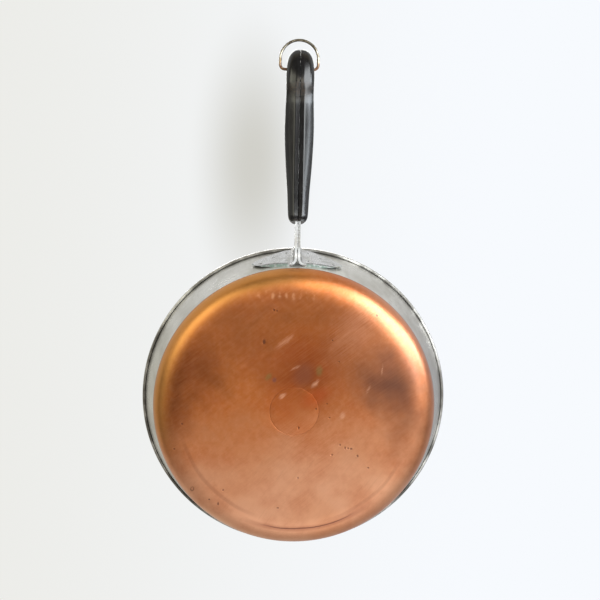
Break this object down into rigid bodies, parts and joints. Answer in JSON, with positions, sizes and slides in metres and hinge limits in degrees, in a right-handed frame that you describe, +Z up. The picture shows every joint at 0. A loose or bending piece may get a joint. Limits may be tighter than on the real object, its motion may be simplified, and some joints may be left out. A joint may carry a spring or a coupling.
{
  "type": "skillet",
  "caption": "Stainless steel skillet with a copper-clad base, a curled rim, a black phenolic handle on a welded bracket and a swinging hang ring.",
  "frame": {"origin": "centre of the underside of the copper base, on the plane the pan stands on", "axes": "+X out along the handle, +Y to the right-hand side of the handle half that holds the nuts, +Z up out of the pan"},
  "size_m": [0.4347, 0.26, 0.0987],
  "materials": {
    "stainless_steel": "satin, fine turned lines, slight heat tint",
    "copper": "used copper: satin, fine scratches, heat stains and a darker patina",
    "bracket_steel": "satin pressed steel with verdigris in the lower edge",
    "phenolic": "black phenolic, semi-gloss, rubbed",
    "screw_steel": "dulled plated steel",
    "nut_steel": "dulled plated steel",
    "ring_wire": "nickel-plated brass wire, plating worn through in places"
  },
  "bodies": {
    "pan": {"pan_shell": "stainless_steel", "copper_base": "copper", "bracket_leaf_left": "bracket_steel", "bracket_leaf_right": "bracket_steel", "handle_half_left": "phenolic", "handle_half_right": "phenolic", "rear_screw": "screw_steel", "front_screw": "screw_steel", "rear_nut": "nut_steel", "front_nut": "nut_steel"},
    "ring": {"hang_ring": "ring_wire"}
  },
  "joints": [
    {"name": "ring_swing", "type": "hinge", "parent": "pan", "child": "ring", "pos_m": [0.27865, 0, 0.09016], "axis": [0, 1, 0], "range_deg": [-157, 136]}
  ]
}
